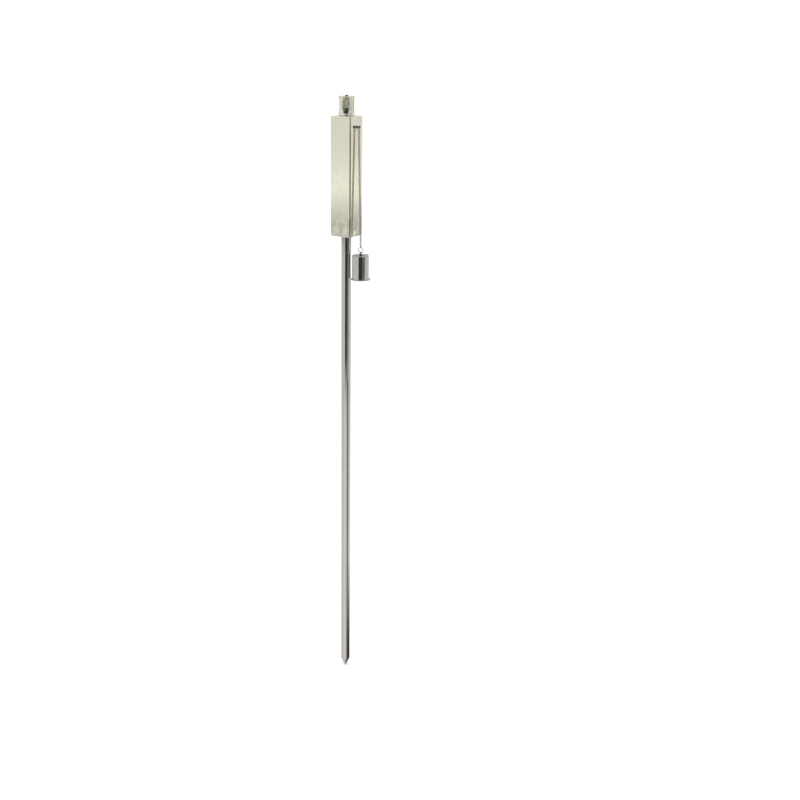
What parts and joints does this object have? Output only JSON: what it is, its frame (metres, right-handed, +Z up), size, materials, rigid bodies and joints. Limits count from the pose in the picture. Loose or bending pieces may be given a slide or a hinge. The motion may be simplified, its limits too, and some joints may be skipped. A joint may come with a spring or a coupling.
{
  "type": "garden torch",
  "caption": "Lamp-oil garden torch: a windowed wick burner on a square steel housing, a round pole with a ground point, and a snuffer bell hung on a link chain.",
  "frame": {"origin": "on the pole's axis, at the shoulder where the ground point meets the pole", "axes": "+Z up along the pole; -Y out of the broad front face; +X out of the face that carries the chain"},
  "size_m": [0.0909, 0.0544, 1.46],
  "materials": {
    "satin_steel": "satin, fine vertical grain",
    "polished_steel": "polished",
    "chain_steel": "tumbled",
    "dark_steel": "blackened",
    "tinned_steel": "tinned",
    "glass_fibre": "braided",
    "fibre_gasket": "pressed fibre",
    "rubber_pad": "matt"
  },
  "bodies": {
    "torch": {"ground_point": "polished_steel", "pole_lower": "polished_steel", "pole_middle": "polished_steel", "pole_upper": "polished_steel", "pole_studs": "dark_steel", "pole_sockets": "dark_steel", "housing_shell": "satin_steel", "housing_top_plate": "satin_steel", "housing_bottom_plate": "satin_steel", "canister_pad": "rubber_pad", "fuel_canister": "tinned_steel", "canister_lid": "tinned_steel", "filler_neck": "polished_steel", "chain_pin": "dark_steel", "pin_washer": "polished_steel", "pin_nut": "polished_steel"},
    "burner_seal": {"burner_gasket": "fibre_gasket"},
    "burner": {"burner_base": "satin_steel", "burner_guard": "polished_steel", "wick_holder": "dark_steel", "holder_nut": "polished_steel"},
    "wick": {"wick": "glass_fibre"},
    "chain_top": {"top_ring": "chain_steel", "chain_top_links": "chain_steel"},
    "chain_bend": {"chain_bend_links": "chain_steel"},
    "chain_long": {"chain_long_links": "chain_steel"},
    "chain_end": {"chain_end_links": "chain_steel"},
    "end_ring": {"end_ring": "chain_steel"},
    "snuffer": {"snuffer_bell": "polished_steel", "snuffer_eyelet": "dark_steel", "eyelet_nut": "polished_steel"}
  },
  "joints": [
    {"name": "burner_lift", "type": "slide", "parent": "torch", "child": "burner_seal", "axis": [0, 0, 1], "range_m": [0, 0.006]},
    {"name": "burner_turn", "type": "hinge", "parent": "burner_seal", "child": "burner", "pos_m": [0, 0, 1.391], "axis": [0, 0, 1], "range_deg": [0, 1080]},
    {"name": "wick_slide", "type": "slide", "parent": "burner", "child": "wick", "axis": [0, 0, 1], "range_m": [-0.01, 0.008]},
    {"name": "chain_swing", "type": "hinge", "parent": "torch", "child": "chain_top", "pos_m": [0.033, 0, 1.3665], "axis": [1, 0, 0], "range_deg": [-75, 75]},
    {"name": "chain_bend_upper", "type": "hinge", "parent": "chain_top", "child": "chain_bend", "pos_m": [0.0343, 0, 1.31487], "axis": [0, -1, 0], "range_deg": [0, 110]},
    {"name": "chain_bend_middle", "type": "hinge", "parent": "chain_bend", "child": "chain_long", "pos_m": [0.03483, 0, 1.29393], "axis": [0, 1, 0], "range_deg": [-110, 0]},
    {"name": "chain_bend_lower", "type": "hinge", "parent": "chain_long", "child": "chain_end", "pos_m": [0.03825, 0, 1.15777], "axis": [0, -1, 0], "range_deg": [0, 110]},
    {"name": "ring_tilt", "type": "hinge", "parent": "chain_end", "child": "end_ring", "pos_m": [0.04, 0, 1.0882], "axis": [0, 1, 0], "range_deg": [-70, 0]},
    {"name": "snuffer_swing", "type": "hinge", "parent": "end_ring", "child": "snuffer", "pos_m": [0.04, 0, 1.0771], "axis": [1, 0, 0], "range_deg": [-80, 80]}
  ],
  "couplings": [
    {"joint": "burner_lift", "follows": "burner_turn", "m_per_rad": 0.00031831}
  ]
}
